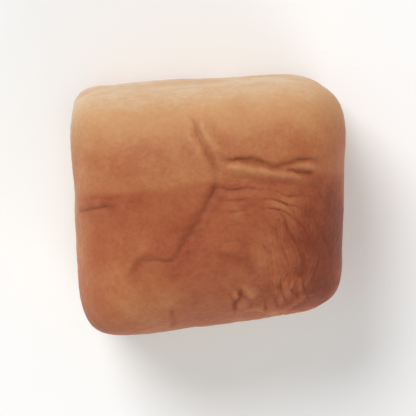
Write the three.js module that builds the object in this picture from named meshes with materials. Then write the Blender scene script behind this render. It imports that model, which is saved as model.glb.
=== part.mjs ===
// A soft square dinner roll: a domed crust on four flat sides, where the dough rose against
// its neighbours, over a flat base. Millimetres, +Z up, the origin under its middle on the surface it rests on.
import * as THREE from "three";
import { mergeVertices } from "three/addons/utils/BufferGeometryUtils.js";

// The roll's overall size.
const WIDTH = 64; // along X
const DEPTH = 59.5; // along Y
const HEIGHT = 46; // along Z

// The upright profile, as heights in millimetres and shares of the half width.
const SHOULDER_HEIGHT = 24; // where the sides end and the dome begins, at the widest
const BASE_SHARE = 0.85; // the flat base's half width
const RIM_SHARE = 0.96; // where the base and the side would meet if the rim were sharp
const FOOT_SHARE = 0.975; // the half width just above the base's rounded rim
const FOOT_HEIGHT = 6; // the height of that rim
const BULGE_HEIGHT = 13; // where the side has nearly reached its widest
const DOME_SPREAD = 2.6; // higher carries the crown's flat further out
const DOME_FULLNESS = 2.2; // higher makes the shoulder squarer

// The four sides seen from above: the way each faces, in degrees from +X, and how far out it stands.
const SIDES = [
  { facing: -1.5, reach: 32 },
  { facing: 93, reach: 29 },
  { facing: 183, reach: 31 },
  { facing: 278.5, reach: 27.5 },
];

// How square each corner between them is: 2 is round. The crown above is rounder than the sides.
const CORNERS = [
  { facing: 45, squareness: 5.5 },
  { facing: 135, squareness: 10 },
  { facing: 225, squareness: 6 },
  { facing: 315, squareness: 10 },
];
const CROWN_SQUARENESS = 2.6;

// Broad soft hollows in the crust: the middle and the reach of each in plan, and its depth.
const HOLLOWS = [
  { x: 4, y: 7, reach: 15, depth: 0.9 },
  { x: -17, y: -3, reach: 13, depth: 0.6 },
  { x: 18, y: -15, reach: 12, depth: 0.7 },
];

// How finely the roll is divided.
const AROUND = 80; // facets round it
const RIM_STEPS = 5;
const SIDE_STEPS = 5;
const DOME_STEPS = 22;

// Points (share of the half width, height) up the profile, from the base's middle to the crown.
function uprightProfile() {
  const rim = new THREE.QuadraticBezierCurve(
    new THREE.Vector2(BASE_SHARE, 0),
    new THREE.Vector2(RIM_SHARE, 0),
    new THREE.Vector2(FOOT_SHARE, FOOT_HEIGHT),
  );
  const side = new THREE.QuadraticBezierCurve(
    new THREE.Vector2(FOOT_SHARE, FOOT_HEIGHT),
    new THREE.Vector2(1, BULGE_HEIGHT),
    new THREE.Vector2(1, SHOULDER_HEIGHT),
  );
  const profile = [new THREE.Vector2(0, 0), ...rim.getPoints(RIM_STEPS), ...side.getPoints(SIDE_STEPS).slice(1)];
  for (let i = 1; i < DOME_STEPS; i++) {
    const angle = ((i / DOME_STEPS) * Math.PI) / 2;
    const out = Math.cos(angle) ** (2 / DOME_SPREAD);
    const up = Math.sin(angle) ** (2 / DOME_FULLNESS);
    profile.push(new THREE.Vector2(out, SHOULDER_HEIGHT + (HEIGHT - SHOULDER_HEIGHT) * up));
  }
  return [...profile, new THREE.Vector2(0, HEIGHT)];
}

// How much an angle from +X turns towards a facing in degrees: 1 straight to it, 0 at a right angle or more.
function towards(angle, facing) {
  return Math.max(0, Math.cos(angle - THREE.MathUtils.degToRad(facing)));
}

// How far out the roll stands at an angle from +X; overShoulder is 0 on the sides and 1 at the crown.
function outline(angle, overShoulder) {
  let squareness = 0;
  for (const corner of CORNERS) squareness += corner.squareness * towards(angle, corner.facing) ** 2;
  squareness = THREE.MathUtils.lerp(squareness, CROWN_SQUARENESS, overShoulder ** 2);
  let sum = 0;
  for (const side of SIDES) sum += (towards(angle, side.facing) / side.reach) ** squareness;
  return sum ** (-1 / squareness);
}

// How deep the hollows are at a place seen from above.
function hollowDepth(x, y) {
  let depth = 0;
  for (const hollow of HOLLOWS) {
    const away = Math.hypot(x - hollow.x, y - hollow.y) / hollow.reach;
    depth += hollow.depth * Math.exp(-away * away);
  }
  return depth;
}

// Scales and shifts the geometry to the stated size, centred over the origin, with its base at Z 0.
function fitToSize(geometry) {
  geometry.computeBoundingBox();
  const size = geometry.boundingBox.getSize(new THREE.Vector3());
  geometry.scale(WIDTH / size.x, DEPTH / size.y, HEIGHT / size.z);
  geometry.computeBoundingBox();
  const middle = geometry.boundingBox.getCenter(new THREE.Vector3());
  geometry.translate(-middle.x, -middle.y, -geometry.boundingBox.min.z);
}

function rollGeometry() {
  const turned = new THREE.LatheGeometry(uprightProfile(), AROUND);
  turned.rotateX(Math.PI / 2); // a lathe turns about Y
  turned.deleteAttribute("normal");
  turned.deleteAttribute("uv");
  const geometry = mergeVertices(turned, 1e-4);
  const place = geometry.attributes.position;
  const point = new THREE.Vector3();
  for (let i = 0; i < place.count; i++) {
    point.fromBufferAttribute(place, i);
    const share = Math.hypot(point.x, point.y);
    const angle = Math.atan2(point.y, point.x);
    const overShoulder = Math.max(0, (point.z - SHOULDER_HEIGHT) / (HEIGHT - SHOULDER_HEIGHT));
    const out = share * outline(angle, overShoulder);
    point.x = out * Math.cos(angle);
    point.y = out * Math.sin(angle);
    point.z -= overShoulder * hollowDepth(point.x, point.y);
    place.setXYZ(i, point.x, point.y, point.z);
  }
  fitToSize(geometry);
  geometry.computeVertexNormals();
  return geometry;
}

const bread = new THREE.MeshStandardMaterial({ color: 0xa8643f, roughness: 0.55, metalness: 0 });

const breadRoll = new THREE.Mesh(rollGeometry(), bread);
breadRoll.name = "bread_roll";

const part = new THREE.Group();
part.add(breadRoll);

export default part;
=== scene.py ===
"""A soft square dinner roll, baked touching its neighbours and pulled apart, lying on its flat base.

The roll is one piece. It starts as a block of the roll's size, is divided, pushed out to the shape of
risen dough, and then worked over like clay: broad lumps, the creases and wrinkles of the crust, and the
torn crumb of the two sides that grew into the next rolls. How brown each spot is, with painted highlights
and painted shade in it, how stained and shaded its creases are, how torn it is and how much painted shade
its pits get are kept on the mesh for the material to colour.
"""

import math

import bpy
import numpy as np
from bpy.props import FloatProperty, FloatVectorProperty, IntProperty, PointerProperty
from bpy.types import Operator, Panel, PropertyGroup
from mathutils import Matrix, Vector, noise


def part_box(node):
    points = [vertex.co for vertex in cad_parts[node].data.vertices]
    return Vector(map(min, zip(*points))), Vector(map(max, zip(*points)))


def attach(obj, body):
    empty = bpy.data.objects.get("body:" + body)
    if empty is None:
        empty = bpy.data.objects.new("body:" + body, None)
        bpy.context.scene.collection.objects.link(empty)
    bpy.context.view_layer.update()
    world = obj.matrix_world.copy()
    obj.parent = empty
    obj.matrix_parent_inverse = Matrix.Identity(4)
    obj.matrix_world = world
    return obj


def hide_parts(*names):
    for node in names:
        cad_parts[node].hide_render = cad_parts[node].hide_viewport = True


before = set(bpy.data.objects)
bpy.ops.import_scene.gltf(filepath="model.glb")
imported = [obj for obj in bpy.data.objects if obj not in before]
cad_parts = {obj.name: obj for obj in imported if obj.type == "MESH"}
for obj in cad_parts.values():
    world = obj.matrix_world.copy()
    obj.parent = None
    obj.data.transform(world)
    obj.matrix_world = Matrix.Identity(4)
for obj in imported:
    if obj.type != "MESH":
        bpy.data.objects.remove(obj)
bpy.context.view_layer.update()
ROLL_LOW, ROLL_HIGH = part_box("bread_roll")

bl_info = {
    "name": "Soft square dinner roll",
    "version": (1, 0, 0),
    "blender": (4, 5, 0),
    "location": "3D View > Sidebar > Dinner roll",
    "description": "Shapes and bakes a pull-apart dinner roll",
    "category": "Object",
}

MM = 0.001  # the shaping below works in millimetres

# The upright profile, as heights in millimetres and shares of the half width.
SHOULDER = 24  # where the sides end and the dome begins, at the widest
SIDE_TAPER = 0.022  # how much narrower the side is at its foot
RIM_TAPER = 0.128  # how much narrower still the base is
RIM_HEIGHT = 6  # the height of the base's rounded rim
RIM_SHARPNESS = 2.6  # higher keeps its rounding closer to the base
DOME_SPREAD = 2.6  # higher carries the crown's flat further out
DOME_FULLNESS = 2.2  # higher makes the shoulder squarer

TABLE_SIZE = 8  # in metres, so that its edges are far off

# The daylight fades from its brightness at the horizon to that overhead, over a share of the way up.
HORIZON_LIGHT = 1.0
ZENITH_LIGHT = 0.45
FADE_SHARE = 0.7

# The four sides seen from above: the way each faces, in degrees from +X, and how far out it stands.
SIDES = {"east": (-1.5, 32.0), "north": (93, 29.0), "west": (183, 31.0), "south": (278.5, 27.5)}
TORN_SIDES = {"west": 0.79, "south": 0.87}  # how much of each one's half length is torn

# How square each corner between them is, by the way it faces: 2 is round. The crown above is rounder.
CORNERS = ((45, 5.5), (135, 10), (225, 6), (315, 10))
CROWN_SQUARENESS = 2.6

# The torn crumb of a side lies between these heights.
TORN_BOTTOM = 4.6
TORN_TOP = 22.8
TORN_RISE = 7.2  # how much higher the crust tore off at the east end of the south side
TORN_CORNER = 4.5  # how much its edges curve in at its corners
TORN_CORNER_LENGTH = 11  # over this length from each end

# The detail of the crust is above these heights.
CREASED_ABOVE = 25
FINE_CREASES_ABOVE = 26  # the mesh is finer round the creases
FINE_WRINKLES_ABOVE = 27  # and in the wrinkles

# The crust is looked down on from a little north and west of straight above.
LEAN_NORTH = math.radians(8)
LEAN_WEST = math.radians(2)

# Creases in the crust. Each runs through places as they look from there, in millimetres, with its depth,
# its half width, and the height of the raised banks of crust on its left and right as it runs.
CREASES = (
    {  # down from the north shoulder to where the creases meet
        "path": (
            (-4.0, 22.4), (-3.4, 20.6), (-2.0, 17.4), (-0.6, 13.6),
            (1.3, 10.6), (2.3, 8.0), (2.4, 4.7),
        ),
        "depth": 0.32, "width": 0.62, "left": 0.26, "right": 0.20,
    },
    {  # eastwards, over a puffed ridge of crust
        "path": (
            (1.0, 9.6), (3.4, 10.4), (6.0, 10.8), (9.2, 10.8), (12.2, 10.3), (14.6, 9.2),
            (17.0, 9.4), (19.4, 10.3), (22.2, 11.0), (25.8, 10.3), (27.4, 8.6),
        ),
        "depth": 0.52, "width": 0.72, "left": 0.20, "right": 0.16,
    },
    {  # along the ridge's lower side
        "path": ((3.4, 6.0), (7.5, 6.6), (12.0, 5.9), (17.5, 5.6), (22.0, 5.6), (25.6, 4.6)),
        "depth": 0.20, "width": 0.80, "left": 0.10, "right": 0.16,
    },
    {  # the hollow where the ridge forks
        "path": ((16.8, 8.7), (19.6, 8.0), (22.4, 7.8), (25.2, 7.6)),
        "depth": 0.40, "width": 0.56, "left": 0.14, "right": 0.16,
    },
    {  # the long one, down to the southwest
        "path": (
            (2.3, 8.0), (2.2, 4.9), (0.8, 2.2), (-0.8, -1.2),
            (-2.9, -4.8), (-5.2, -8.4), (-8.2, -12.9),
        ),
        "depth": 0.52, "width": 1.00, "left": 0.20, "right": 0.18,
    },
    {  # where it meets the first of the ripples below the ridge
        "path": ((0.2, 1.2), (1.6, 3.3), (3.4, 4.0), (6.4, 3.7), (9.6, 3.4)),
        "depth": 0.34, "width": 0.80, "left": 0.10, "right": 0.16,
    },
    {  # its hooked end
        "path": (
            (-5.6, -9.8), (-7.6, -12.0), (-9.6, -12.7), (-12.8, -12.4),
            (-15.3, -13.0), (-16.4, -15.2), (-15.4, -17.6),
        ),
        "depth": 0.38, "width": 0.85, "left": 0.18, "right": 0.26,
    },
    {  # two in from the west edge
        "path": ((-30.4, -1.2), (-25.8, -0.3), (-20.8, 0.5)),
        "depth": 0.32, "width": 0.70, "left": 0.30, "right": 0.14,
    },
    {
        "path": ((-27.0, 1.6), (-23.6, 2.1), (-20.2, 1.7)),
        "depth": 0.12, "width": 0.55, "left": 0.18, "right": 0.10,
    },
    {  # a faint one in the southeast
        "path": ((0.9, -11.0), (4.6, -11.4), (8.0, -12.2), (10.4, -14.8), (10.8, -17.6)),
        "depth": 0.36, "width": 0.75, "left": 0.20, "right": 0.18,
    },
    {  # over the south edge
        "path": ((-8.4, -23.6), (-8.0, -26.0), (-8.4, -28.6)),
        "depth": 0.34, "width": 0.50, "left": 0.18, "right": 0.18,
    },
    {  # three short ones between the small folds in the southeast
        "path": ((6.6, -18.6), (7.6, -20.6), (6.4, -22.6), (7.0, -25.0)),
        "depth": 0.50, "width": 0.46, "left": 0.30, "right": 0.40,
    },
    {
        "path": ((16.0, -17.4), (16.8, -19.6), (16.2, -21.6)),
        "depth": 0.36, "width": 0.46, "left": 0.24, "right": 0.30,
    },
    {
        "path": ((20.4, -16.6), (20.2, -18.8), (21.4, -20.8)),
        "depth": 0.32, "width": 0.44, "left": 0.22, "right": 0.26,
    },
)

# Puffed folds of crust between creases. Each runs through places as they look from there, with its height
# and half width.
FOLDS = (
    {  # the ridge in the east
        "path": ((3.4, 8.8), (7.9, 8.9), (12.6, 8.1), (18.5, 7.1), (22.3, 6.2), (25.6, 5.8)),
        "height": 0.56, "width": 0.95,
    },
    {  # the short one in its fork
        "path": ((18.8, 9.0), (21.9, 9.4), (25.2, 8.9)),
        "height": 0.56, "width": 0.80,
    },
    {  # one on each side of the north crease
        "path": ((-2.0, 20.0), (-0.5, 17.2), (1.2, 14.6), (3.0, 12.0)),
        "height": 0.44, "width": 1.05,
    },
    {
        "path": ((-5.2, 18.0), (-3.6, 15.2), (-1.6, 12.4), (0.2, 10.4)),
        "height": 0.20, "width": 1.10,
    },
    {  # four small ones in the southeast
        "path": ((6.0, -19.8), (7.0, -21.5), (7.2, -23.4)),
        "height": 0.36, "width": 0.65,
    },
    {
        "path": ((8.6, -17.8), (9.8, -19.6), (11.2, -21.4)),
        "height": 0.30, "width": 0.75,
    },
    {
        "path": ((15.8, -18.8), (16.8, -20.6), (17.2, -22.4)),
        "height": 0.38, "width": 0.70,
    },
    {
        "path": ((18.2, -19.0), (20.0, -17.8), (21.8, -16.4)),
        "height": 0.40, "width": 0.70,
    },
    {  # along the southeast rim
        "path": ((7.6, -24.9), (10.8, -23.6), (13.9, -24.4), (18.7, -22.8), (21.8, -21.3), (24.9, -20.1)),
        "height": 0.46, "width": 0.55,
    },
)

# The crust beside a crease.
BANK_AWAY = 1.35  # how far the tops of its raised banks are from the crease
BANK_REACH = 1.25  # how wide each bank is
VALLEY_SHARE = 0.3  # how deep the broad valley round it is, as a share of its depth
VALLEY_REACH = 4.5
STAIN_AND_SHADE_REACH = 1.6  # how far its brown stain and painted shade go, in widths of the crease
STAIN_AND_SHADE_FULL_DEPTH = 0.5  # a crease this deep is stained and shaded in full

# Wrinkles of the crust, by where they are: how high they stand and how far apart they run.
WRINKLES = {
    "round the hollow": (0.33, 3.6),
    "between those": (0.14, 1.9),
    "below the ridge": (0.62, 2.7),
    "by the south edge": (0.46, 3.1),
}

# Broad soft hollows in the crust: the middle and the reach of each in plan, and its depth.
HOLLOWS = ((4, 7, 15, 0.9), (-17, -3, 13, 0.6), (18, -15, 12, 0.7))

# The bands of browning run a little north of east.
BAND_SLANT = 0.09

# Patches that are browner or paler than the crust round them: the middle and the reach, and how much.
# The second is a painted highlight and the third painted light along the south edge; the others are crust
# tone.
BROWNING_PATCHES_AND_PAINTED_LIGHT = ((-9, -9, 10, 0.04), (-20, -19, 12, -0.12), (-13, -24, 8, -0.10), (13, -17, 11, -0.03))

# How much paler the skin is for each millimetre that it stands up in a fold, a wrinkle or a torn lip. On
# folds this is a painted highlight, and on wrinkles a painted highlight on the ridges with painted shade in
# the hollows.
FOLD_HIGHLIGHT = 0.30
WRINKLE_HIGHLIGHT_AND_SHADE = 0.6
LIP_PALENESS = 0.7

# How far the lip of crust stands out over a torn side.
OVERHANG = 0.25
MORE_OVERHANG = 0.12  # towards the east end of the south side

# How high each kind of roughness in the torn crumb stands, or how deep it goes.
STRANDS = 0.56
FLAKES = 0.54
TUFTS = 0.75
FLUFF = 0.36
BIG_BUBBLES = 0.45
SMALL_BUBBLES = 0.34


def smoothstep(low, high, value):
    """0 at low, 1 at high, and smooth between; low may be the higher of the two."""
    share = np.clip((value - low) / (high - low), 0, 1)
    return share * share * (3 - 2 * share)


def hump(away, reach):
    """1 in the middle, about a third at the reach and next to nothing at twice the reach."""
    return np.exp(-np.square(away / reach))


def noise_at(places, grain, octaves=1, seed=0.0):
    """Smooth noise of about -1 to 1 at places, with lumps of the given grain along x, y and z, in mm."""
    scaled = (places / np.array(grain) + seed).tolist()
    if octaves == 1:
        return np.array([noise.noise(place) for place in scaled])
    return np.array([noise.fractal(place, 1.0, 2.0, octaves) for place in scaled])


def bubbles_at(places, grain, seed=0.0):
    """0 in the middle of each bubble and about 0.5 or more in the walls between them."""
    scaled = (places / np.array(grain) + seed).tolist()
    return np.array([noise.voronoi(place)[0][0] for place in scaled])


# ---------------------------------------------------------------- sizes and colours


class RollSizes(PropertyGroup):
    width: FloatProperty(name="Width", description="Size along X", unit="LENGTH",
                         default=ROLL_HIGH.x - ROLL_LOW.x)
    depth: FloatProperty(name="Depth", description="Size along Y", unit="LENGTH",
                         default=ROLL_HIGH.y - ROLL_LOW.y)
    height: FloatProperty(name="Height", description="Size along Z", unit="LENGTH",
                          default=ROLL_HIGH.z - ROLL_LOW.z)
    shoulder: FloatProperty(name="Shoulder", description="Height where the sides end and the dome begins",
                            unit="LENGTH", default=SHOULDER * MM)
    lumps: FloatProperty(name="Lumps", description="Height of the broad unevenness of the crust",
                         unit="LENGTH", default=0.0005)
    torn_depth: FloatProperty(name="Torn depth", description="How far the torn crumb lies inside the crust",
                              unit="LENGTH", default=0.0011)
    cuts: IntProperty(name="Cuts", description="Cuts across each face of the block that it starts from",
                      default=10)
    levels: IntProperty(name="Levels", description="Times that the block's faces are divided again",
                        default=2)


class RollColours(PropertyGroup):
    cream: FloatVectorProperty(name="Cream", description="Skin that hardly browned", subtype="COLOR",
                               default=(0.56, 0.405, 0.262))
    golden: FloatVectorProperty(name="Golden", description="Skin just turning", subtype="COLOR",
                                default=(0.505, 0.27, 0.12))
    orange: FloatVectorProperty(name="Orange", description="Light crust", subtype="COLOR",
                                default=(0.47, 0.205, 0.083))
    tan: FloatVectorProperty(name="Tan", description="Middling crust", subtype="COLOR",
                             default=(0.40, 0.131, 0.048))
    brown: FloatVectorProperty(name="Brown", description="Well baked crust", subtype="COLOR",
                               default=(0.335, 0.084, 0.030))
    dark: FloatVectorProperty(name="Dark", description="The darkest crust", subtype="COLOR",
                              default=(0.22, 0.041, 0.011))
    darkest: FloatVectorProperty(name="Darkest", description="Crust about to burn", subtype="COLOR",
                                 default=(0.13, 0.024, 0.008))
    # The crease colour is both browner crust and painted shade at the bottom of a crease.
    crease: FloatVectorProperty(name="Crease", description="The bottom of a crease", subtype="COLOR",
                                default=(0.235, 0.050, 0.016))
    crumb: FloatVectorProperty(name="Crumb", description="The torn inside", subtype="COLOR",
                               default=(0.86, 0.69, 0.49))
    fluff: FloatVectorProperty(name="Fluff", description="The palest strands of it", subtype="COLOR",
                               default=(0.93, 0.82, 0.66))
    # Painted shade at the bottoms of the crumb's bubbles.
    pore_shade_colour: FloatVectorProperty(name="Pit", description="The bottoms of its bubbles", subtype="COLOR",
                             default=(0.60, 0.38, 0.18))


class StageSettings(PropertyGroup):
    floor_colour: FloatVectorProperty(name="Floor", description="Colour of the table", subtype="COLOR",
                                      default=(0.925, 0.925, 0.92))
    lens: FloatProperty(name="Lens", description="Focal length in millimetres", default=240.0)
    tilt_north: FloatProperty(name="Tilt north", description="How far the camera leans to the north side",
                              subtype="ANGLE", default=LEAN_NORTH)
    tilt_west: FloatProperty(name="Tilt west", description="How far the camera leans to the west side",
                             subtype="ANGLE", default=LEAN_WEST)
    fill: FloatProperty(name="Fill", description="Share of the picture's width that the roll fills",
                        default=0.66)


# ---------------------------------------------------------------- the shape of the risen dough


def toward(angle, facing):
    """How much an angle turns to a facing in degrees: 1 straight to it, 0 at a right angle or more."""
    return np.maximum(0, np.cos(angle - math.radians(facing)))


def outline(angle, over):
    """How far out the roll stands at an angle from +X; over is 0 on the sides and 1 at the crown."""
    square = sum(squareness * toward(angle, facing) ** 2 for facing, squareness in CORNERS)
    square += (CROWN_SQUARENESS - square) * over**2
    total = sum((toward(angle, facing) / reach) ** square for facing, reach in SIDES.values())
    return total ** (-1 / square)


def is_inside(places, shoulder, height):
    """Whether places in millimetres are inside the smooth roll."""
    x, y, z = places.T
    over = np.clip((z - shoulder) / (height - shoulder), 0, 1)
    under = np.clip(1 - z / shoulder, 0, 1)
    rim = np.clip(1 - z / RIM_HEIGHT, 0, 1)
    share = np.hypot(x, y) / outline(np.arctan2(y, x), over)
    side_share = 1 - SIDE_TAPER * under**2 - RIM_TAPER * rim**RIM_SHARPNESS
    in_dome = share**DOME_SPREAD + over**DOME_FULLNESS < 1
    in_side = share < side_share
    return np.where(z > shoulder, in_dome, in_side) & (z > 0) & (z < height)


def onto_dough(places, shoulder, height, furthest=1.25, halvings=32):
    """Moves places along the rays from the roll's middle until they lie on the smooth roll.

    The surface crosses each ray within the furthest share of its length, and is found by halving.
    """
    middle = np.array((0, 0, height / 2))
    rays = places - middle
    near = np.zeros(len(places))
    far = np.full(len(places), furthest)
    for _ in range(halvings):
        halfway = (near + far) / 2
        inside = is_inside(middle + rays * halfway[:, None], shoulder, height)
        near = np.where(inside, halfway, near)
        far = np.where(inside, far, halfway)
    return middle + rays * near[:, None]


# ---------------------------------------------------------------- mesh helpers


def deselect_all():
    if bpy.context.object and bpy.context.object.mode != "OBJECT":
        bpy.ops.object.mode_set(mode="OBJECT")
    bpy.ops.object.select_all(action="DESELECT")


def places_of(mesh):
    """The mesh's vertices, in millimetres."""
    flat = np.empty(len(mesh.vertices) * 3)
    mesh.vertices.foreach_get("co", flat)
    return flat.reshape(-1, 3) / MM


def place(mesh, places):
    mesh.vertices.foreach_set("co", (places * MM).ravel())
    mesh.update()


def normals_of(mesh):
    flat = np.empty(len(mesh.vertices) * 3)
    mesh.vertex_normals.foreach_get("vector", flat)
    return flat.reshape(-1, 3)


def keep_on_mesh(mesh, name, values):
    """Keeps one number for each vertex, for the material to read."""
    attribute = mesh.attributes.new(name, "FLOAT", "POINT")
    attribute.data.foreach_set("value", values.astype(np.float32))


def divide_where(roll, wanted):
    """Divides the faces whose middles, in millimetres, are wanted."""
    mesh = roll.data
    flat = np.empty(len(mesh.polygons) * 3)
    mesh.polygons.foreach_get("center", flat)
    chosen = wanted(flat.reshape(-1, 3) / MM)
    bpy.ops.object.mode_set(mode="EDIT")
    bpy.ops.mesh.select_mode(type="FACE")
    bpy.ops.mesh.select_all(action="DESELECT")
    bpy.ops.object.mode_set(mode="OBJECT")
    mesh.polygons.foreach_set("select", chosen)
    bpy.ops.object.mode_set(mode="EDIT")
    bpy.ops.mesh.subdivide(number_cuts=1, ngon=False)
    bpy.ops.object.mode_set(mode="OBJECT")


def leaning_plan(places):
    """Where places look to be, level with the shoulder, from the camera's side; all in millimetres."""
    above = places[:, 2] - SHOULDER
    return np.column_stack((
        places[:, 0] + above * math.tan(LEAN_WEST),
        places[:, 1] - above * math.tan(LEAN_NORTH),
    ))


# ---------------------------------------------------------------- creases


def crease_line(points, step=0.2):
    """Places every step or so along a smooth line through the points, wandering as a crack does."""
    points = np.array(points, float)
    padded = np.vstack((2 * points[0] - points[1], points, 2 * points[-1] - points[-2]))
    line = []
    for before, start, end, after in zip(padded, padded[1:], padded[2:], padded[3:]):
        count = max(2, int(np.linalg.norm(end - start) / step))
        for share in np.arange(count) / count:
            line.append(0.5 * (
                2 * start
                + (end - before) * share
                + (2 * before - 5 * start + 4 * end - after) * share**2
                + (3 * start - before - 3 * end + after) * share**3
            ))
    line.append(points[-1])
    flat = np.column_stack((line, np.zeros(len(line))))
    for grain, reach, seed in ((2.6, 0.5, 3.1), (0.9, 0.16, 8.7)):
        flat[:, 0] += reach * noise_at(flat, (grain, grain, 1), 1, seed)
        flat[:, 1] += reach * noise_at(flat, (grain, grain, 1), 1, seed + 20)
    return flat[:, :2]


def beside(line, spots):
    """For each spot in plan: its distance from the line, whether it is on the left, and how far along."""
    away = np.hypot(spots[:, None, 0] - line[None, :, 0], spots[:, None, 1] - line[None, :, 1])
    nearest = away.argmin(1)
    heading = np.gradient(line, axis=0)[nearest]
    offset = spots - line[nearest]
    left = heading[:, 0] * offset[:, 1] > heading[:, 1] * offset[:, 0]
    return away[np.arange(len(spots)), nearest], left, nearest / (len(line) - 1)


def near_crease(centres, reach):
    """Whether face middles lie within a reach of a crease."""
    top = np.flatnonzero(centres[:, 2] > FINE_CREASES_ABOVE)
    seen = leaning_plan(centres[top])
    close = np.zeros(len(centres), bool)
    for crease in CREASES:
        away, _, _ = beside(crease_line(crease["path"]), seen)
        close[top] |= away < reach
    return close


def crease_crust(places):
    """The rise or fall of each place from creases and folds, how stained and shaded it is along a crease (a
    brown stain with painted shade), and how high on a fold.
    """
    top = np.flatnonzero(places[:, 2] > CREASED_ABOVE)
    seen = leaning_plan(places[top])
    rise = np.zeros(len(places))
    crease_stain_and_shade = np.zeros(len(places))
    folded = np.zeros(len(places))
    for number, crease in enumerate(CREASES):
        away, left, along = beside(crease_line(crease["path"]), seen)
        tapered = smoothstep(0, 0.22, along) * smoothstep(1, 0.78, along)
        uneven = 0.8 + 0.5 * noise_at(places[top], (3.2, 3.2, 9.0), 1, 5.0 + number)
        width = crease["width"] * (1.0 + 0.8 * noise_at(places[top], (4.0, 4.0, 9.0), 1, 25.0 + number))
        groove = hump(away, width) * tapered * uneven
        bank_height = np.where(left, crease["left"], crease["right"])
        bank = hump(away - BANK_AWAY, BANK_REACH) * tapered * (1.6 - 0.6 * uneven) * bank_height
        valley = VALLEY_SHARE * crease["depth"] * hump(away, VALLEY_REACH) * tapered
        rise[top] += bank - crease["depth"] * groove - valley
        # The crease's stain: browner crust with painted shade in the groove.
        stain_and_shade = hump(away, STAIN_AND_SHADE_REACH * width) * tapered * (0.5 + 0.5 * uneven)
        crease_stain_and_shade[top] = np.maximum(crease_stain_and_shade[top], stain_and_shade * min(1, crease["depth"] / STAIN_AND_SHADE_FULL_DEPTH))
    for fold in FOLDS:
        away, _, along = beside(crease_line(fold["path"]), seen)
        swell = (
            fold["height"] * hump(away, fold["width"])
            * smoothstep(0, 0.15, along) * smoothstep(1, 0.8, along)
        )
        rise[top] += swell
        folded[top] = np.maximum(folded[top], swell)
    return rise, np.clip(crease_stain_and_shade, 0, 1), folded


# ---------------------------------------------------------------- the rest of the crust


def ridges(waves):
    """0 in the hollows and 1 on the narrow tops of waves given in turns."""
    return (1 - np.abs(np.sin(waves * math.pi))) ** 2.5


def in_wrinkles(centres):
    """Whether face middles are in the wrinkled southeast of the crust."""
    x, y = leaning_plan(centres).T
    return (centres[:, 2] > FINE_WRINKLES_ABOVE) & (np.hypot(x - 18, y + 11) < 14.5)


def wrinkle_crust(places):
    """The wrinkles that curve round the southeast of the crust and ripple below its ridge."""
    x, y = leaning_plan(places).T
    on_top = smoothstep(26, 34, places[:, 2])
    warp = 2.2 * noise_at(places, (9, 9, 12), 2, 2.0)
    broken = np.clip(0.6 + 1.3 * noise_at(places, (5, 5, 6), 1, 7.0), 0, 1.3)
    out = np.hypot(x - 7, y + 14)
    around_hollow = hump(np.hypot(x - 17, y + 10), 12) * smoothstep(2, 6, out)
    high, apart = WRINKLES["round the hollow"]
    rise = high * around_hollow * broken * (0.5 - ridges((out + warp) / apart))
    high, apart = WRINKLES["between those"]
    rise += high * around_hollow * (0.5 - ridges((out + 0.8 * x + 1.8 * warp) / apart))
    below_ridge = hump(x - 11, 10) * hump(y - 0.5, 4.0)
    high, apart = WRINKLES["below the ridge"]
    rise += high * below_ridge * broken * (0.5 - ridges((y + 0.12 * x + warp) / apart))
    by_south_edge = hump(x - 15, 13) * hump(y + 21, 5)
    high, apart = WRINKLES["by the south edge"]
    rise += high * by_south_edge * broken * (0.5 - ridges((x + 0.4 * y + 1.3 * warp) / apart))
    return rise * on_top


def crepe_crust(places):
    """The fine creping and shallow dimples of the skin."""
    x, y = places[:, 0], places[:, 1]
    rough_share = 0.6 + 0.9 * hump(np.hypot(x - 16, y + 10), 16)
    creping = 1 - 2 * np.abs(noise_at(places, (2.4, 1.9, 2.2), 3, 11.0))
    dimples = smoothstep(0.30, 0.05, bubbles_at(places, (3.1, 3.1, 3.1), 14.0))
    return 0.05 * creping * rough_share - 0.07 * dimples


def hollow_crust(places):
    """Broad soft hollows where the crust sank as it cooled."""
    x, y, z = places.T
    on_top = smoothstep(28, 42, z)
    sunk = np.zeros(len(places))
    for middle_x, middle_y, reach, depth in HOLLOWS:
        sunk += depth * hump(np.hypot(x - middle_x, y - middle_y), reach)
    return -sunk * on_top


# ---------------------------------------------------------------- the torn sides


def along_side(places, side):
    """How far places are from the middle of a side, along it."""
    turn = math.radians(SIDES[side][0])
    return places[:, 1] * math.cos(turn) - places[:, 0] * math.sin(turn)


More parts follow.
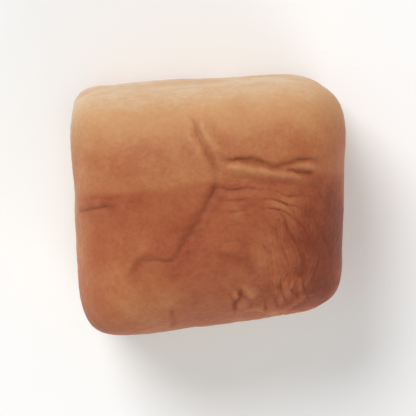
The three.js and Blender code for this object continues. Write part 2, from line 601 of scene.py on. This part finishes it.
def torn_share(places):
    """For each place, how torn it is, how near and how deep in torn crumb, and how high the lip stands."""
    z = places[:, 2]
    angle = np.arctan2(places[:, 1], places[:, 0])
    torn, near, deep, lip = np.zeros((4, len(places)))
    nicks = 0.6 * noise_at(places, (2.2, 2.2, 2.2), 2, 21.0)
    ragged = nicks + 1.4 * noise_at(places, (6.5, 6.5, 5.0), 2, 22.5)
    wavy = noise_at(places, (11, 11, 11), 1, 24.0)
    thin = np.maximum(0.7, 2.2 + 2.4 * noise_at(places, (5, 5, 5), 2, 26.0))
    for side, torn_length in TORN_SIDES.items():
        facing, reach = SIDES[side]
        along = along_side(places, side)
        height = TORN_TOP + 1.6 * wavy
        overhang = OVERHANG
        if side == "south":
            height = height + TORN_RISE * smoothstep(-12, 10, along) * smoothstep(32, 22, along)
            overhang = OVERHANG + MORE_OVERHANG * smoothstep(1, 8, along) * smoothstep(29, 23, along)

        # How far inside the patch of torn crumb a place is, from its upper or lower edge and its ends.
        up = np.where(z > (height + TORN_BOTTOM) / 2, height - z, z - TORN_BOTTOM)
        up = np.where(up < 0, 1.6 * up, up)
        inward = torn_length * reach + 2.5 * wavy - np.abs(along)
        corner = smoothstep(TORN_CORNER_LENGTH, 0, inward) * TORN_CORNER
        edge = np.minimum(up - corner + ragged, inward + 0.5 * ragged)
        faces = smoothstep(0.56, 0.68, toward(angle, facing))
        torn = np.maximum(torn, smoothstep(-0.25, 0.45, edge) * faces)
        near = np.maximum(near, smoothstep(-1.6 * thin, 0.0, edge) * faces)
        deep = np.maximum(deep, smoothstep(0.0, 3.5, edge) * faces)

        # The lip of crust along the upper edge.
        above = z - (height - corner + ragged)
        over_side = smoothstep(0.92, 0.6, np.abs(along) / reach) * faces
        lip = np.maximum(lip, overhang * hump(above - 1.3, 1.1) * over_side * (1 + 0.5 * ragged))
    return torn, near, deep, np.clip(lip, 0, 1.4)


def tear_sides(places, torn, deep, depth):
    """The rise or fall of each place from the crumb's strands and bubbles, and the painted shade for how
    deep in a pit it is.
    """
    rise = np.zeros(len(places))
    pore_shade = np.zeros(len(places))
    spots = np.flatnonzero(torn > 0.001)
    here = places[spots]
    swirl = np.column_stack([noise_at(here, (7, 7, 7), 1, seed) for seed in (28.0, 29.3, 30.6)])
    pulled = here + 2.6 * swirl
    strands = 1 - 2 * np.abs(noise_at(pulled, (1.9, 1.9, 5.5), 3, 31.0))
    flakes = 1 - 2 * np.abs(noise_at(pulled, (4.6, 4.6, 3.4), 2, 34.0))
    tufts = noise_at(here, (8, 8, 7), 2, 36.0)
    fluff = noise_at(here, (0.9, 0.9, 1.1), 2, 37.0)
    big = smoothstep(0.36, 0.08, bubbles_at(pulled, (3.8, 3.8, 4.4), 40.0))
    small = smoothstep(0.40, 0.12, bubbles_at(here, (1.7, 1.7, 2.0), 43.0))
    relief = STRANDS * (strands - 0.5) + FLAKES * (flakes - 0.4) + TUFTS * tufts + FLUFF * fluff
    relief -= BIG_BUBBLES * big + SMALL_BUBBLES * small
    sunk = depth * (0.35 + 0.65 * deep[spots])
    rise[spots] = torn[spots] * (relief * (0.4 + 0.6 * deep[spots]) - sunk)
    # Painted shade in the pits, darker the deeper they go.
    pore_shade[spots] = smoothstep(-0.1, -1.3, relief) * torn[spots]
    return rise, pore_shade


# ---------------------------------------------------------------- how brown it is


def browning_of(places, normals, near_torn):
    """How brown the skin is at each place, from 0, cream, to 1, the darkest crust."""
    x, y = leaning_plan(places).T
    z = places[:, 2]
    on_top = smoothstep(26, 36, z)
    cloudy = noise_at(places, (12, 12, 12), 3, 51.0)
    drift = 1.8 * cloudy
    north = y - BAND_SLANT * x

    # The crust browns southwards, with a sharp step near the middle, and is darkest in the east, where the
    # darkening is partly browner crust and partly painted shade on the side away from the light.
    top = 0.085 + 0.555 * smoothstep(31.5, 12, north + drift)
    top += 0.05 * smoothstep(10, 1, y + drift)
    top += 0.12 * smoothstep(5.9, 4.3, north + 0.4 * drift) * on_top
    top += 0.10 * smoothstep(9, -4, y + drift) * (1 - on_top)
    top += 0.09 * smoothstep(-14, 26, x) * smoothstep(22, 5, y)
    # Partly browner crust and partly painted shade on the east side.
    top += 0.21 * smoothstep(15, 28, x + drift) * smoothstep(10, -2, y) * smoothstep(24, 34, z)
    # Browner and paler patches, among them a painted highlight in the southwest and painted light by the
    # south edge.
    for middle_x, middle_y, reach, more in BROWNING_PATCHES_AND_PAINTED_LIGHT:
        top += more * hump(np.hypot(x - middle_x, y - middle_y), reach)
    top -= 0.05 * smoothstep(-25, -30, x)

    # The sides stay pale, most of all round the torn crumb, above a browner rim and base.
    east = np.clip(normals[:, 0], 0, 1)
    high = smoothstep(11, 31, z + 2.5 * drift)
    low_skin = 0.12 + 0.26 * east + 0.20 * cloudy
    brown = top * high + low_skin * (1 - high)
    brown -= (0.16 + 0.10 * cloudy) * near_torn + 0.14 * smoothstep(0.55, 1.0, near_torn)
    brown += 0.34 * smoothstep(4.5, 0.5, z)
    flat_base = smoothstep(-0.9, -0.99, normals[:, 2])
    return np.clip(brown * (1 - flat_base) + 0.5 * flat_base + 0.06 * cloudy, 0, 1.15)


# ---------------------------------------------------------------- the roll


def add_block(sizes):
    """A block of the roll's size, divided into even faces."""
    deselect_all()
    bpy.ops.mesh.primitive_cube_add(size=1, location=(0, 0, sizes.height / 2))
    block = bpy.context.object
    block.name = "dinner_roll"
    block.data.name = "dinner_roll"
    block.scale = (sizes.width, sizes.depth, sizes.height)
    bpy.ops.object.transform_apply(location=True, rotation=False, scale=True)
    bpy.ops.object.mode_set(mode="EDIT")
    bpy.ops.mesh.select_all(action="SELECT")
    bpy.ops.mesh.subdivide(number_cuts=sizes.cuts)
    bpy.ops.object.mode_set(mode="OBJECT")
    finer = block.modifiers.new("finer", "SUBSURF")
    finer.subdivision_type = "SIMPLE"
    finer.levels = sizes.levels
    finer.render_levels = sizes.levels
    bpy.ops.object.modifier_apply(modifier=finer.name)
    return block


def raise_dough(roll, sizes):
    """Gives the block the shape of risen dough, with finer faces where the detail is."""
    shoulder, height = sizes.shoulder / MM, sizes.height / MM
    finer_where = (  # all of the crust and the torn sides, then less and less of them
        lambda centres: (centres[:, 2] > TORN_TOP - 3) | (torn_share(centres)[1] > 0.1),
        lambda centres: near_crease(centres, 2.0) | in_wrinkles(centres) | (torn_share(centres)[1] > 0.6),
        lambda centres: near_crease(centres, 0.7),
    )
    place(roll.data, onto_dough(places_of(roll.data), shoulder, height))
    for wanted in finer_where:
        divide_where(roll, wanted)
        place(roll.data, onto_dough(places_of(roll.data), shoulder, height))


def fit_to_size(places, sizes):
    """Scales and shifts places to the roll's exact size, standing on Z 0."""
    wanted = np.array((sizes.width, sizes.depth, sizes.height)) / MM
    low, high = places.min(0), places.max(0)
    fitted = (places - (low + high) / 2) * wanted / (high - low)
    fitted[:, 2] += wanted[2] / 2
    return fitted


def work_surface(roll, sizes):
    """Works the crust and the torn sides, and keeps what the material needs on the mesh."""
    mesh = roll.data
    smooth = places_of(mesh)
    normals = normals_of(mesh)
    off_base = smoothstep(0.4, 5.0, smooth[:, 2])
    torn, near_torn, deep_torn, lip = torn_share(smooth)
    creased_rise, crease_stain_and_shade, folded = crease_crust(smooth)
    wrinkled = wrinkle_crust(smooth) * (1 - torn)
    torn_rise, pore_shade = tear_sides(smooth, torn, deep_torn, sizes.torn_depth / MM)
    rise = sizes.lumps / MM * noise_at(smooth, (17, 17, 17), 2, 61.0)
    rise += (0.12 * noise_at(smooth, (5, 5, 5), 2, 64.0) + crepe_crust(smooth)) * (1 - torn)
    rise += creased_rise + wrinkled + lip + torn_rise
    sculpted = smooth + normals * (rise * off_base)[:, None]
    sculpted[:, 2] += hollow_crust(smooth)
    place(mesh, fit_to_size(sculpted, sizes))
    browning = browning_of(smooth, normals, near_torn)
    # Painted highlights on folds and wrinkle ridges, painted shade in wrinkle hollows, and a paler torn
    # lip.
    browning = browning - FOLD_HIGHLIGHT * folded - WRINKLE_HIGHLIGHT_AND_SHADE * wrinkled - LIP_PALENESS * lip
    keep_on_mesh(mesh, "browning", browning)
    keep_on_mesh(mesh, "crease_stain_and_shade", crease_stain_and_shade)
    keep_on_mesh(mesh, "torn", torn)
    keep_on_mesh(mesh, "pore_shade", pore_shade)
    mesh.polygons.foreach_set("use_smooth", np.ones(len(mesh.polygons), bool))
    mesh.update()


# ---------------------------------------------------------------- materials

DARKEST = 1.3  # the browning at the end of the crust's colours


class Nodes:
    """Adds nodes to a material and joins them."""

    def __init__(self, material):
        material.use_nodes = True
        self.tree = material.node_tree
        self.tree.nodes.clear()

    def add(self, kind, settings=None, inputs=None):
        node = self.tree.nodes.new(kind)
        for name, value in (settings or {}).items():
            setattr(node, name, value)
        for name, value in (inputs or {}).items():
            if isinstance(value, bpy.types.NodeSocket):
                self.tree.links.new(value, node.inputs[name])
            else:
                node.inputs[name].default_value = value
        return node

    def maths(self, operation, first, second=0.0, third=0.0):
        node = self.add("ShaderNodeMath", {"operation": operation}, {0: first, 1: second, 2: third})
        return node.outputs[0]

    def noise(self, spots, grain, detail=2.0, roughness=0.5):
        """Noise of 0 to 1 whose lumps are about the grain, in millimetres, across."""
        inputs = {"Vector": spots, "Scale": 1 / grain, "Detail": detail, "Roughness": roughness}
        return self.add("ShaderNodeTexNoise", inputs=inputs).outputs["Fac"]

    def swing(self, share, height):
        """Turns a share of 0 to 1 into a rise or fall of half the height."""
        return self.maths("MULTIPLY_ADD", share, height, -height / 2)

    def cells(self, spots, scale, detail=0.0):
        """How far each spot is from the middle of the cell that it is in."""
        inputs = {"Vector": spots, "Scale": scale, "Detail": detail}
        return self.add("ShaderNodeTexVoronoi", inputs=inputs).outputs["Distance"]

    def mix(self, share, first, second):
        """The first colour where the share is 0 and the second where it is 1."""
        node = self.add("ShaderNodeMix", {"data_type": "RGBA"})
        for socket, value in zip((0, 6, 7), (share, first, second)):
            if isinstance(value, bpy.types.NodeSocket):
                self.tree.links.new(value, node.inputs[socket])
            else:
                node.inputs[socket].default_value = value
        return node.outputs[2]

    def attribute(self, name):
        return self.add("ShaderNodeAttribute", {"attribute_name": name}).outputs["Fac"]


def opaque(colour):
    return (*colour, 1.0)


def bread_material(colours):
    """Crust that goes from cream to dark brown, and crumb where it is torn."""
    material = bpy.data.materials.new("baked_bread")
    nodes = Nodes(material)
    in_metres = nodes.add("ShaderNodeTexCoord").outputs["Object"]
    to_millimetres = {"Vector": in_metres, "Scale": (1 / MM, 1 / MM, 1 / MM)}
    spots = nodes.add("ShaderNodeMapping", {"vector_type": "POINT"}, to_millimetres).outputs[0]
    browning = nodes.attribute("browning")
    crease_stain_and_shade = nodes.attribute("crease_stain_and_shade")
    torn = nodes.attribute("torn")

    # The crust: blotched and freckled, and stained along its creases, with painted shade in them.
    blotches = nodes.noise(spots, grain=6.0, detail=4.0, roughness=0.6)
    freckles = nodes.noise(spots, grain=1.1, detail=3.0, roughness=0.65)
    blotched = nodes.maths("ADD", browning, nodes.swing(blotches, 0.36))
    baked = nodes.maths("ADD", blotched, nodes.swing(freckles, 0.24))
    ramp = nodes.add("ShaderNodeValToRGB", inputs={"Fac": nodes.maths("DIVIDE", baked, DARKEST)})
    stops = (
        (0.03, colours.cream), (0.30, colours.golden), (0.50, colours.orange),
        (0.68, colours.tan), (0.84, colours.brown), (1.02, colours.dark), (DARKEST, colours.darkest),
    )
    elements = ramp.color_ramp.elements
    while len(elements) < len(stops):
        elements.new(0.5)
    for element, (position, colour) in zip(elements, stops):
        element.position = position / DARKEST
        element.color = opaque(colour)
    # Browner crust and painted shade along the creases.
    stain_and_shade_share = nodes.maths("MULTIPLY", crease_stain_and_shade, 0.62)
    crust = nodes.mix(stain_and_shade_share, ramp.outputs["Color"], opaque(colours.crease))

    # The crumb: pale strands round bubbles, with painted shade in the bubbles and deep pits.
    cells = nodes.cells(spots, scale=0.95, detail=1.0)
    strands = nodes.noise(spots, grain=1.6, detail=3.0)
    fluffy = nodes.mix(strands, opaque(colours.crumb), opaque(colours.fluff))
    # Painted shade in the middles of the bubbles and in the deep pits.
    bubbles = nodes.maths("MULTIPLY_ADD", cells, -1.6, 0.75)
    hollow = nodes.maths("MAXIMUM", bubbles, nodes.attribute("pore_shade"))
    crumb = nodes.mix(nodes.maths("MULTIPLY", hollow, 0.7), fluffy, opaque(colours.pore_shade_colour))
    colour = nodes.mix(torn, crust, crumb)

    # Gloss: the skin shines softly and the crumb is dull.
    skin_rough = nodes.maths("MULTIPLY_ADD", freckles, 0.16, 0.46)
    rough = nodes.maths("MULTIPLY_ADD", torn, 0.35, skin_rough)

    # Relief too fine for the mesh: leathery skin and spongy crumb.
    grain = nodes.noise(spots, grain=0.45, detail=3.0, roughness=0.65)
    leather = nodes.cells(spots, scale=0.75)
    fine = nodes.maths("ADD", nodes.maths("MULTIPLY", grain, 0.12), nodes.maths("MULTIPLY", leather, 0.10))
    spongy = nodes.maths("MULTIPLY_ADD", grain, 0.5, nodes.maths("MULTIPLY", cells, 0.6))
    height = nodes.maths("MULTIPLY_ADD", torn, spongy, fine)
    bump = nodes.add("ShaderNodeBump", inputs={"Strength": 0.8, "Distance": MM, "Height": height})

    bread = nodes.add("ShaderNodeBsdfPrincipled", inputs={
        "Base Color": colour,
        "Roughness": rough,
        "Normal": bump.outputs["Normal"],
        "IOR": 1.42,
        "Specular IOR Level": 0.32,
        "Subsurface Weight": 0.18,
        "Subsurface Radius": (1.0, 0.42, 0.2),
        "Subsurface Scale": 0.0016,
    })
    nodes.add("ShaderNodeOutputMaterial", inputs={"Surface": bread.outputs["BSDF"]})
    return material


def floor_material(colour):
    material = bpy.data.materials.new("pale_table")
    nodes = Nodes(material)
    board = nodes.add("ShaderNodeBsdfPrincipled", inputs={"Base Color": opaque(colour), "Roughness": 0.7})
    nodes.add("ShaderNodeOutputMaterial", inputs={"Surface": board.outputs["BSDF"]})
    return material


# ---------------------------------------------------------------- operators


class ROLL_OT_bake(Operator):
    """Shape the dinner roll and give it its crust and crumb"""

    bl_idname = "dinner_roll.bake"
    bl_label = "Dinner roll"

    def execute(self, context):
        sizes = context.scene.roll_sizes
        roll = add_block(sizes)
        raise_dough(roll, sizes)
        work_surface(roll, sizes)
        roll.data.materials.append(bread_material(context.scene.roll_colours))
        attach(roll, "root")
        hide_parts("bread_roll")
        return {"FINISHED"}


class ROLL_OT_stage(Operator):
    """Lay the table, light it softly and look down on the crust"""

    bl_idname = "dinner_roll.stage"
    bl_label = "Table, light and camera"

    def execute(self, context):
        settings = context.scene.roll_stage
        lay_table(settings)
        light_table()
        add_camera(settings, context.scene.roll_sizes)
        return {"FINISHED"}


def lay_table(settings):
    deselect_all()
    bpy.ops.mesh.primitive_plane_add(size=TABLE_SIZE)
    table = bpy.context.object
    table.name = "table"
    table.data.materials.append(floor_material(settings.floor_colour))


def add_window(name, place_at, brightness, softness):
    """Soft light from one side, as even as daylight; softness is how wide the window looks, in degrees."""
    bpy.ops.object.light_add(type="SUN", location=place_at)
    window = bpy.context.object
    window.name = name
    window.data.energy = brightness
    window.data.angle = math.radians(softness)
    window.rotation_euler = (-window.location).to_track_quat("-Z", "Y").to_euler()


def light_table():
    """Soft daylight all round, a window to the northwest and a dimmer one to the southeast."""
    add_window("north_window", (-0.65, 1.0, 1.0), brightness=2.1, softness=32)
    add_window("south_window", (0.6, -1.0, 0.6), brightness=0.72, softness=42)
    world = bpy.context.scene.world or bpy.data.worlds.new("daylight")
    bpy.context.scene.world = world
    world.use_nodes = True
    nodes = world.node_tree.nodes
    links = world.node_tree.links
    upward = nodes.new("ShaderNodeSeparateXYZ")
    links.new(nodes.new("ShaderNodeTexCoord").outputs["Generated"], upward.inputs[0])
    brightness = nodes.new("ShaderNodeMapRange")
    brightness.inputs["From Min"].default_value = 0.0
    brightness.inputs["From Max"].default_value = FADE_SHARE
    brightness.inputs["To Min"].default_value = HORIZON_LIGHT
    brightness.inputs["To Max"].default_value = ZENITH_LIGHT
    links.new(upward.outputs["Z"], brightness.inputs["Value"])
    background = nodes["Background"]
    background.inputs["Color"].default_value = (1, 1, 1, 1)
    links.new(brightness.outputs["Result"], background.inputs["Strength"])
    bpy.context.scene.view_settings.view_transform = "Standard"


def add_camera(settings, sizes):
    """Looks down on the crust, with the north side up in the picture."""
    bpy.ops.object.camera_add()
    camera = bpy.context.object
    camera.name = "camera"
    camera.data.lens = settings.lens
    view_width = sizes.width / settings.fill
    away = view_width * settings.lens / camera.data.sensor_width
    camera.rotation_euler = (-settings.tilt_north, -settings.tilt_west, 0)
    back = camera.rotation_euler.to_matrix().col[2]
    middle = (0, 0, sizes.shoulder)
    camera.location = [at + away * part for at, part in zip(middle, back)]
    camera.data.clip_start = 0.01
    bpy.context.scene.camera = camera


class ROLL_PT_panel(Panel):
    """Makes the roll and its table"""

    bl_label = "Dinner roll"
    bl_idname = "ROLL_PT_panel"
    bl_space_type = "VIEW_3D"
    bl_region_type = "UI"
    bl_category = "Dinner roll"

    def draw(self, context):
        for group in (context.scene.roll_sizes, context.scene.roll_colours, context.scene.roll_stage):
            for name in group.__annotations__:
                self.layout.prop(group, name)
        for operator in OPERATORS:
            self.layout.operator(operator.bl_idname)


GROUPS = {"roll_sizes": RollSizes, "roll_colours": RollColours, "roll_stage": StageSettings}
OPERATORS = (ROLL_OT_bake, ROLL_OT_stage)


def register():
    for group in GROUPS.values():
        bpy.utils.register_class(group)
    for name, group in GROUPS.items():
        setattr(bpy.types.Scene, name, PointerProperty(type=group))
    for operator in OPERATORS:
        bpy.utils.register_class(operator)
    bpy.utils.register_class(ROLL_PT_panel)


def unregister():
    bpy.utils.unregister_class(ROLL_PT_panel)
    for operator in OPERATORS:
        bpy.utils.unregister_class(operator)
    for name, group in GROUPS.items():
        delattr(bpy.types.Scene, name)
        bpy.utils.unregister_class(group)


def main():
    register()
    bpy.ops.dinner_roll.bake()
    bpy.ops.dinner_roll.stage()


if __name__ == "__main__":
    main()
